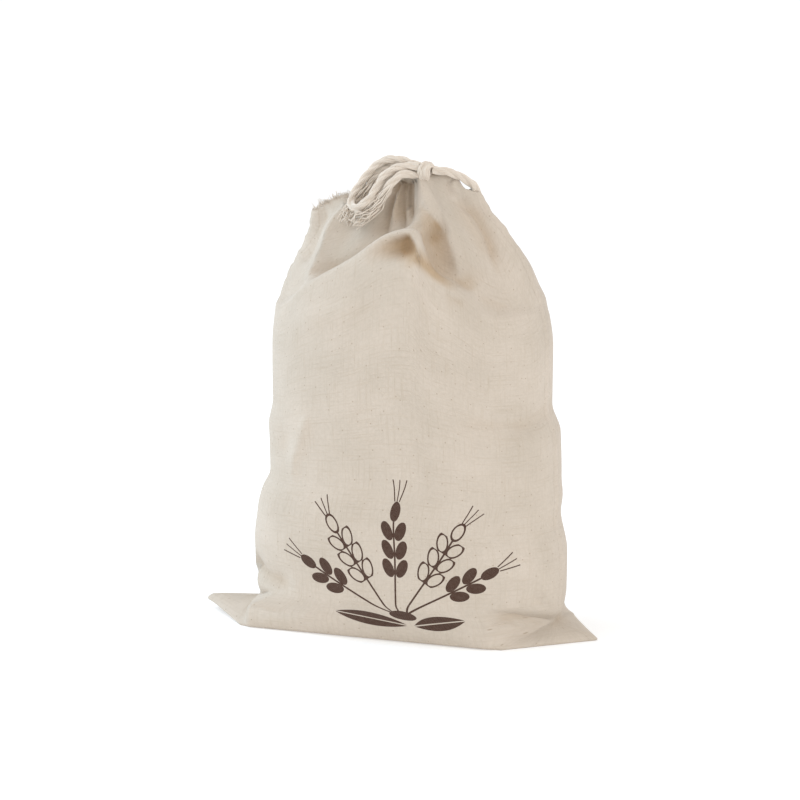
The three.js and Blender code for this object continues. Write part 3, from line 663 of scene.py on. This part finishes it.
def hem_fringe(panels, places):
    """Loose threads along the torn left end of the mouth."""
    strands = Strands()
    t = np.linspace(0, 1, FRINGE_STEPS)[:, None]
    radii = FRINGE_RADIUS * np.linspace(1, FRINGE_TIP, FRINGE_STEPS)
    for panel in panels:
        rim = panel[-1]
        under = panel[-1 - FRINGE_ROWS]
        for place in RANDOM.uniform(FRINGE_FROM, FRINGE_TO, FRINGE_COUNT):
            foot = np.array([np.interp(place, places, column) for column in rim.T])
            low = np.array([np.interp(place, places, column) for column in under.T])
            way = unit(unit(foot - low) + RANDOM.normal(0, FRINGE_STRAY, 3))
            bend = RANDOM.normal(0, FRINGE_BEND, 3)
            path = foot + RANDOM.uniform(*FRINGE_LENGTH) * (t * way + t * t * bend / 2) - way
            strands.add(path, radii, FRINGE_SIDES)
    return strands.piece("hem_fringe")


def closed(places):
    """Places across the front to the right, then across the back to the left."""
    return np.concatenate([places, places[-2:0:-1]])


def fold_shares(heights):
    """How far the folds of the neck and those of the face act at each height."""
    neck = smoothstep(SHOULDER_ROW, SHOULDER_ROW + SHOULDER_BLEND, heights)[:, None]
    face = smoothstep(SHOULDER_ROW, SHOULDER_ROW - SHOULDER_LIP, heights)[:, None]
    return neck, face


def outer_skin(places, heights):
    """Closed rings of points from the floor up, with the seams, the folds and the rolled base."""
    front = panel_points(places, heights, True)
    back = panel_points(places, heights, False)
    outer = np.concatenate([front, back[:, -2:0:-1]], axis=1)
    neck, face = fold_shares(heights)
    relief = seam_relief(closed(places), heights)
    relief[:, FRONT] += neck * fold_relief(NECK_FOLDS, front, places, heights)
    level_relief = np.zeros_like(relief)
    level_relief[:, FRONT] = face * fold_relief(FACE_FOLDS, front, places, heights)
    outward = unit(blurred(grid_normals(outer), FOLD_SMOOTH))
    level = unit(outward * LEVEL)
    outer += outward * relief[..., None] + level * level_relief[..., None]
    rolled = BASE_ROLL_IN * np.clip(1 - heights / BASE_ROLL, 0, 1) ** 2
    return outer - level * rolled[:, None, None]


def inner_skin(outer, normals):
    """The inside of the cloth, whose base lies flat over the outer one."""
    inner = outer - normals * CLOTH
    level = normals[0] * LEVEL
    inset = BASE_EDGE * CLOTH * (1 + normals[0, :, 2:]) / (level ** 2).sum(axis=1, keepdims=True)
    inner[0] = outer[0] - level * inset + (0, 0, CLOTH)
    return inner


def cloth_lay(outer, places):
    """Places on the flat panels: across, up, and 1 on the front."""
    ring = outer.shape[1]
    ring_places = closed(places)
    on_front = np.arange(ring) <= PANEL_COLUMNS
    from_middle = np.where(on_front, np.abs(ring_places), 2 - np.abs(ring_places))
    turned = smoothstep(1 - SIDE_SHARE, 1 + SIDE_SHARE, from_middle)
    front_v = lengths_up(outer[:, LAY_FROM:LAY_TO])
    back_v = lengths_up(outer[:, ring - LAY_TO:ring - LAY_FROM])
    v = front_v[:, None] + turned * (back_v - front_v)[:, None]
    u = np.broadcast_to(ring_places * PANEL_WIDTH / 2, v.shape)
    return np.stack([u, v, np.broadcast_to(on_front, v.shape)], axis=2)


def painted_shade_strength(outer, normals, places, heights):
    """Painted shade at each point, from 0 to about 1: how deep in the folds it lies, plus the rows."""
    hollow = ((blurred(outer, VALLEY_STEPS) - outer) * normals).sum(axis=2)
    painted_shade = np.clip(hollow / VALLEY_DEPTH, 0, 1)
    neck, face = fold_shares(heights)
    for share, shades in ((face, FACE_PAINTED_SHADE), (neck, NECK_PAINTED_SHADE), (1 - neck, CREST_PAINTED_SHADE)):
        painted_shade[:, FRONT] += share * fold_relief(shades, outer[:, FRONT], places, heights)
    return painted_shade


def shell_faces(rows, ring):
    """Faces of the outer and inner skins, the mouth's edge and the base."""
    skin = rows * ring
    top = skin - ring
    faces = []
    for j in range(ring):
        k = (j + 1) % ring
        for low in range(0, top, ring):
            high = low + ring
            faces.append((low + j, low + k, high + k, high + j))
            faces.append((skin + low + j, skin + high + j, skin + high + k, skin + low + k))
        faces.append((top + j, top + k, skin + top + k, skin + top + j))
    for j in range(PANEL_COLUMNS):
        strip = list(dict.fromkeys([j, (ring - j) % ring, ring - j - 1, j + 1]))
        faces.append(tuple(strip))
        faces.append(tuple(skin + i for i in reversed(strip)))
    return faces


def cloth_pieces():
    """The bag's cloth and the threads of its torn hem."""
    places = np.linspace(-1, 1, PANEL_COLUMNS + 1)
    heights = row_heights()
    outer = outer_skin(places, heights)
    normals = grid_normals(outer)
    lay = cloth_lay(outer, places)
    painted_shade = painted_shade_strength(outer, normals, places, heights)
    points = np.concatenate([outer, inner_skin(outer, normals)]).reshape(-1, 3)
    faces = shell_faces(*outer.shape[:2])
    bag = add_mesh("cloth_bag", points, faces, np.concatenate([lay, lay]), np.concatenate([painted_shade, painted_shade]))
    back = np.concatenate([outer[:, :1], outer[:, :PANEL_COLUMNS - 1:-1]], axis=1)
    return bag, hem_fringe((outer[:, FRONT], back), places)


cloth, fringe = cloth_pieces()


# Materials

MIX_SOCKETS = (6, 7, 2)  # a mix node's two colour inputs and its colour output


class Look:
    """A material being built from nodes."""

    def __init__(self, name):
        self.material = bpy.data.materials.new(name)
        self.material.use_nodes = True
        self.tree = self.material.node_tree
        self.shader = self.tree.nodes["Principled BSDF"]

    def node(self, kind, settings=None, **inputs):
        made = self.tree.nodes.new(kind)
        for key, value in (settings or {}).items():
            setattr(made, key, value)
        for key, value in inputs.items():
            self.feed(made.inputs[key], value)
        return made

    def feed(self, socket, value):
        if isinstance(value, bpy.types.NodeSocket):
            self.tree.links.new(value, socket)
        else:
            socket.default_value = value

    def finish(self, values):
        """Feeds the shader's inputs by name."""
        for key, value in values.items():
            self.feed(self.shader.inputs[key], value)

    def math(self, operation, a, b=0.0):
        made = self.node("ShaderNodeMath", {"operation": operation})
        self.feed(made.inputs[0], a)
        self.feed(made.inputs[1], b)
        return made.outputs[0]

    def plus(self, a, b):
        return self.math("ADD", a, b)

    def minus(self, a, b):
        return self.math("SUBTRACT", a, b)

    def times(self, a, b):
        return self.math("MULTIPLY", a, b)

    def below(self, a, b):
        return self.math("LESS_THAN", a, b)

    def above(self, a, b):
        return self.math("GREATER_THAN", a, b)

    def size(self, a):
        return self.math("ABSOLUTE", a)

    def square_of_share(self, a, whole):
        return self.math("POWER", self.size(self.math("DIVIDE", a, whole)), 2.0)

    def mix(self, factor, a, b, blend="MIX"):
        made = self.node("ShaderNodeMix", {"data_type": "RGBA", "blend_type": blend})
        first, second, result = MIX_SOCKETS
        self.feed(made.inputs["Factor"], factor)
        self.feed(made.inputs[first], a)
        self.feed(made.inputs[second], b)
        return made.outputs[result]

    def ramp(self, value, low, high, out_low=0.0, out_high=1.0):
        made = self.node("ShaderNodeMapRange", {"clamp": True}, **{
            "Value": value, "From Min": low, "From Max": high, "To Min": out_low, "To Max": out_high,
        })
        return made.outputs[0]

    def vector(self, x, y, z=0.0):
        return self.node("ShaderNodeCombineXYZ", X=x, Y=y, Z=z).outputs[0]

    def noise(self, place, scale, detail=2.0):
        return self.node("ShaderNodeTexNoise", Vector=place, Scale=scale, Detail=detail).outputs["Fac"]

    def lay(self):
        """The piece's own coordinates."""
        attribute = self.node("ShaderNodeAttribute", {"attribute_name": "lay"})
        return self.node("ShaderNodeSeparateXYZ", Vector=attribute.outputs["Vector"]).outputs

    def bump(self, height, distance):
        made = self.node("ShaderNodeBump", Height=height, Distance=distance)
        self.feed(self.shader.inputs["Normal"], made.outputs[0])

    def turned(self, u, v, foot, angle):
        """Coordinates along and across a direction that leaves a place on the cloth, upright at 0."""
        du = self.minus(u, foot[0])
        dv = self.minus(v, foot[1])
        sine = math.sin(math.radians(angle))
        cosine = math.cos(math.radians(angle))
        along = self.plus(self.times(du, sine), self.times(dv, cosine))
        across = self.minus(self.times(du, cosine), self.times(dv, sine))
        return along, across

    def within(self, value, low, high):
        return self.times(self.above(value, low), self.below(value, high))

    def oval(self, x, y, half_length, half_width):
        """Less than 1 inside an oval about the origin."""
        squares = self.plus(self.square_of_share(x, half_length), self.square_of_share(y, half_width))
        return self.math("SQRT", squares)

    def any_of(self, *masks):
        whole = masks[0]
        for mask in masks[1:]:
            whole = self.math("MAXIMUM", whole, mask)
        return whole


# Print of a wheat sheaf on the flat front panel
GRAIN_PITCH = 13
GRAIN_LENGTH = 7  # half of it
GRAIN_WIDTH = 3.7  # half of it
GRAIN_TILT = 24  # degrees off the stalk
GRAIN_OFFSET = 5  # of a grain's middle from the stalk
# Half widths of the pen's lines
GRAIN_LINE = 0.55
STALK_LINE = 0.66
AWN_LINE = 0.44
MIDDLE_AWN_LINE = 0.385
VEIN_LINE = 0.44
# Ears: foot, lean, pairs of grains, length of the stalk, grains filled in
EARS = [
    ((-25, 46), -62, 2, 42, True),
    ((-8, 53), -34, 3, 32, False),
    ((13, 56), 1, 3, 30, True),
    ((34, 53), 35, 3, 32, False),
    ((51, 46), 63, 2, 42, True),
]
LEAVES = [((-11, 22), -80, 23, 6), ((37, 22), 80, 23, 6)]  # place, lean, half length, half width
BAND = ((13, 27), 1, 4.5, 9)  # place, lean, half height, half width
AWN_LENGTH = 22  # from the middle of the last grain
AWN_SLOPE = 0.24


def grain_mask(look, x, y, filled):
    reach = look.oval(x, y, GRAIN_LENGTH, GRAIN_WIDTH)
    if filled:
        return look.below(reach, 1.0)
    return look.below(look.size(look.minus(reach, 1.0)), GRAIN_LINE / GRAIN_WIDTH)


def ear_mask(look, u, v, foot, lean, pairs, stalk, filled):
    along, across = look.turned(u, v, foot, lean)
    side = look.size(across)
    top = pairs * GRAIN_PITCH
    cell = look.minus(look.math("FLOORED_MODULO", along, GRAIN_PITCH), GRAIN_PITCH / 2)
    grain_along, grain_across = look.turned(side, cell, (GRAIN_OFFSET, 0), GRAIN_TILT)
    grains = look.times(grain_mask(look, grain_along, grain_across, filled), look.within(along, 0, top))
    past = look.minus(along, top + GRAIN_LENGTH)
    tip = grain_mask(look, past, across, filled)
    off_awn = look.size(look.minus(side, look.times(past, AWN_SLOPE)))
    awns = look.any_of(look.below(off_awn, AWN_LINE), look.below(side, MIDDLE_AWN_LINE))
    awns = look.times(awns, look.within(past, GRAIN_LENGTH, AWN_LENGTH))
    stem = look.times(look.below(side, STALK_LINE), look.within(along, -stalk, top))
    return look.any_of(grains, tip, awns, stem)


def leaf_mask(look, u, v, place, lean, half_length, half_width):
    along, across = look.turned(u, v, place, lean)
    edge = look.times(look.minus(1.0, look.square_of_share(along, half_length)), half_width)
    side = look.size(across)
    return look.times(look.below(side, edge), look.above(side, VEIN_LINE))


def sheaf_mask(look, u, v):
    masks = [ear_mask(look, u, v, *ear) for ear in EARS]
    masks += [leaf_mask(look, u, v, *leaf) for leaf in LEAVES]
    place, lean, half_height, half_width = BAND
    along, across = look.turned(u, v, place, lean)
    masks.append(look.below(look.oval(across, along, half_width, half_height), 1.0))
    return look.any_of(*masks)


# Cloth finish
CALICO_COLOUR = (0.594, 0.516, 0.432, 1)
CALICO_FINISH = {"Specular IOR Level": 0.2, "Sheen Weight": 0.12, "Sheen Roughness": 0.5}
CALICO_ROUGHNESS = (0.93, 0.84)  # of even threads and of thick ones
# Painted shade: tint that darkens and browns the cloth deep in its folds, where shadow falls
PAINTED_SHADE_TINT = (0.79, 0.65, 0.48, 1)
PAINTED_SHADE_FROM = 0.04  # strength of the painted shade at which its tint sets in
THREAD_PITCH = 0.62
THREAD_STRAY = 12  # how far the threads wander, as a turn of the weave
STRAY_SCALE = 0.35  # of the noise by which they wander
SLUB_TINT = (0.90, 0.875, 0.83, 1)
SLUB_SHARE = 0.75  # of that tint on the thickest threads
SLUB_RANGE = (0.5, 0.78)  # noise at an even thread and at a thick one
SLUB_ACROSS = 0.9  # scale of that noise across a thread
SLUB_ALONG = 0.035  # and along it
WEFT_PLACE = 9  # where in the noise the weft lies, apart from the warp
# Uneven tone: scale of the noise, noise from and to, tone from and to
BLOTCH = (0.022, 0.3, 0.7, 0.94, 1.05)
MOTTLE = (0.42, 0.25, 0.75, 0.955, 1.04)
TONE_DETAIL = 3
TONE_WARMTH = 1.15  # power that blue has over the tone
FLECK_COLOUR = (0.30, 0.21, 0.13, 1)
FLECK_SHARE = 0.55  # of that colour at the middle of a fleck
FLECK_CELL = 11
FLECK_RADIUS = 0.055  # of a cell
FLECK_CHANCE = 0.55
STITCH_LINE = 143.5  # distance from the panel's middle
STITCH_HALF_WIDTH = 0.4
STITCH_PITCH = 3.2
STITCH_GAP = 0.8
STITCH_SHARE = 0.6  # of the slubs' tint on a stitch
INK_COLOUR = (0.043, 0.011, 0.003, 1)
INK_WEAVE = 0.12  # how much the weave adds to the tone where the ink wears
INK_WEAR = (0.85, 1.1, 1.0, 0.88)  # tone from and to, strength of the ink from and to
# Heights of the relief as shares of its unit
WEAVE_RELIEF = 0.35
SLUB_RELIEF = 0.9
MOTTLE_RELIEF = 5
RELIEF_UNIT = 0.12


def weave(look, u, v, place):
    """Up and down of the crossing threads, from -1 to 1."""
    turn = math.pi / THREAD_PITCH
    stray = look.times(look.noise(place, STRAY_SCALE), THREAD_STRAY)
    warp = look.math("SINE", look.plus(look.times(u, turn), stray))
    weft = look.math("SINE", look.plus(look.times(v, turn), stray))
    return look.times(warp, weft)


def slubs(look, u, v):
    """0 on even threads to 1 on thick ones."""
    warp_place = look.vector(look.times(u, SLUB_ACROSS), look.times(v, SLUB_ALONG))
    weft_place = look.vector(look.times(u, SLUB_ALONG), look.times(v, SLUB_ACROSS), WEFT_PLACE)
    thickness = look.math("MAXIMUM", look.noise(warp_place, 1.0), look.noise(weft_place, 1.0))
    return look.ramp(thickness, *SLUB_RANGE)


def uneven_tone(look, place, scale, *ramp):
    return look.ramp(look.noise(place, scale, TONE_DETAIL), *ramp)


def fleck_mask(look, place):
    """Specks of husk in the cotton."""
    cells = look.node(
        "ShaderNodeTexVoronoi", {"voronoi_dimensions": "2D"}, Vector=place, Scale=1 / FLECK_CELL,
    )
    chance = look.node("ShaderNodeSeparateColor", Color=cells.outputs["Color"]).outputs[0]
    speck = look.ramp(cells.outputs["Distance"], FLECK_RADIUS, FLECK_RADIUS / 2)
    return look.times(speck, look.below(chance, FLECK_CHANCE))


def stitch_mask(look, u, v):
    """Stitches beside the side seams."""
    off_line = look.size(look.minus(look.size(u), STITCH_LINE))
    on_stitch = look.above(look.math("FLOORED_MODULO", v, STITCH_PITCH), STITCH_GAP)
    return look.times(look.below(off_line, STITCH_HALF_WIDTH), on_stitch)


def calico_look():
    look = Look("calico")
    u, v, on_front = look.lay()
    place = look.vector(u, v)
    threads = weave(look, u, v, place)
    slub = slubs(look, u, v)
    mottle = uneven_tone(look, place, *MOTTLE)
    tone = look.times(uneven_tone(look, place, *BLOTCH), mottle)
    tones = look.vector(tone, tone, look.math("POWER", tone, TONE_WARMTH))
    painted_fold_shade = look.node("ShaderNodeAttribute", {"attribute_name": "painted_fold_shade"}).outputs["Fac"]
    stitch = stitch_mask(look, u, v)
    ink = look.times(sheaf_mask(look, u, v), on_front)
    worn = look.ramp(look.plus(look.times(threads, INK_WEAVE), mottle), *INK_WEAR)
    colour = look.mix(look.times(slub, SLUB_SHARE), CALICO_COLOUR, SLUB_TINT, "MULTIPLY")
    colour = look.mix(1.0, colour, tones, "MULTIPLY")
    colour = look.mix(look.times(fleck_mask(look, place), FLECK_SHARE), colour, FLECK_COLOUR)
    # Painted shade: the folds' hollows darkened and browned
    colour = look.mix(look.ramp(painted_fold_shade, PAINTED_SHADE_FROM, 1.0), colour, PAINTED_SHADE_TINT, "MULTIPLY")
    colour = look.mix(look.times(stitch, STITCH_SHARE), colour, SLUB_TINT, "MULTIPLY")
    colour = look.mix(look.times(ink, worn), colour, INK_COLOUR)
    roughness = look.ramp(slub, 0, 1, *CALICO_ROUGHNESS)
    look.finish({"Base Color": colour, "Roughness": roughness, **CALICO_FINISH})
    relief = look.plus(look.times(threads, WEAVE_RELIEF), look.times(slub, SLUB_RELIEF))
    relief = look.plus(relief, look.times(mottle, MOTTLE_RELIEF))
    look.bump(look.plus(relief, stitch), RELIEF_UNIT * MM)
    return look.material


# Cord finish
CORD_COLOUR = (0.82, 0.74, 0.65, 1)
CORD_SHADE = (0.9, 0.86, 0.81, 1)
CORD_FINISH = {"Roughness": 0.9, "Specular IOR Level": 0.2, "Sheen Weight": 0.2}
FIBRE_ALONG = 0.12  # scale of the fibres' noise along a yarn
FIBRE_APART = 3.7  # how far apart in the noise the yarns lie
FIBRE_NOISE = (2.2, 4.0)  # scale, detail
FIBRE_RANGE = (0.35, 0.7)  # noise at no shade and at full shade
FUZZ_NOISE = (9.0, 3.0)  # scale, detail
FUZZ_RELIEF = 0.2


def cord_look():
    look = Look("cord")
    angle, run, number = look.lay()
    place = look.vector(
        look.math("COSINE", angle), look.times(run, FIBRE_ALONG), look.times(number, FIBRE_APART),
    )
    shade = look.ramp(look.noise(place, *FIBRE_NOISE), *FIBRE_RANGE)
    look.finish({"Base Color": look.mix(shade, CORD_COLOUR, CORD_SHADE, "MULTIPLY"), **CORD_FINISH})
    look.bump(look.noise(place, *FUZZ_NOISE), FUZZ_RELIEF * MM)
    return look.material


CALICO = calico_look()
CORD = cord_look()
cloth.data.materials.append(CALICO)
for cord_piece, _ in cords.values():
    cord_piece.data.materials.append(CORD)
knot.data.materials.append(CORD)
fringe.data.materials.append(CORD)


# Floor and light
FLOOR_HALF = 60
# The floor glows, so that it stays white
FLOOR_FINISH = {
    "Base Color": (0.8, 0.8, 0.8, 1), "Roughness": 1,
    "Emission Color": (1, 1, 1, 1), "Emission Strength": 0.28,
}
SKY_COLOUR = (1, 1, 1, 1)
SKY_STRENGTH = 0.93
LAMP_TARGET = (0, 0, 0.17)
WHITE = (1, 1, 1)
# Lamps: name, place, size, power, colour
LAMPS = [
    ("key", (-0.9, -1.0, 2.3), 1.0, 8, WHITE),
    ("left", (-1.9, -0.2, 1.1), 1.0, 19, (0.5, 0.76, 1)),
    ("fill", (1.9, -0.8, 0.6), 1.2, 6, WHITE),
]


def add_stage():
    """White floor, white sky and lamps."""
    mesh = bpy.data.meshes.new("floor")
    corners = [(-1, -1), (1, -1), (1, 1), (-1, 1)]
    mesh.from_pydata([(x * FLOOR_HALF, y * FLOOR_HALF, 0) for x, y in corners], [], [(0, 1, 2, 3)])
    floor = bpy.data.objects.new("floor", mesh)
    bpy.context.scene.collection.objects.link(floor)
    look = Look("floor")
    look.finish(FLOOR_FINISH)
    mesh.materials.append(look.material)
    world = bpy.data.worlds.new("studio")
    world.use_nodes = True
    background = world.node_tree.nodes["Background"]
    background.inputs["Color"].default_value = SKY_COLOUR
    background.inputs["Strength"].default_value = SKY_STRENGTH
    bpy.context.scene.world = world
    bpy.context.scene.view_settings.view_transform = "Standard"
    for name, place, size, power, colour in LAMPS:
        lamp = bpy.data.lights.new(name, "AREA")
        lamp.size = size
        lamp.energy = power
        lamp.color = colour
        aimed(bpy.data.objects.new(name, lamp), place, LAMP_TARGET)


add_stage()

# Pieces on the frame
for cord_name, (cord_piece, cord_path) in cords.items():
    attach(cord_piece, "root")
    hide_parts(cord_name)
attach(knot, "root")
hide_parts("knot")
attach(cloth, "root")
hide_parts("bag_cloth")
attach(fringe, "root")
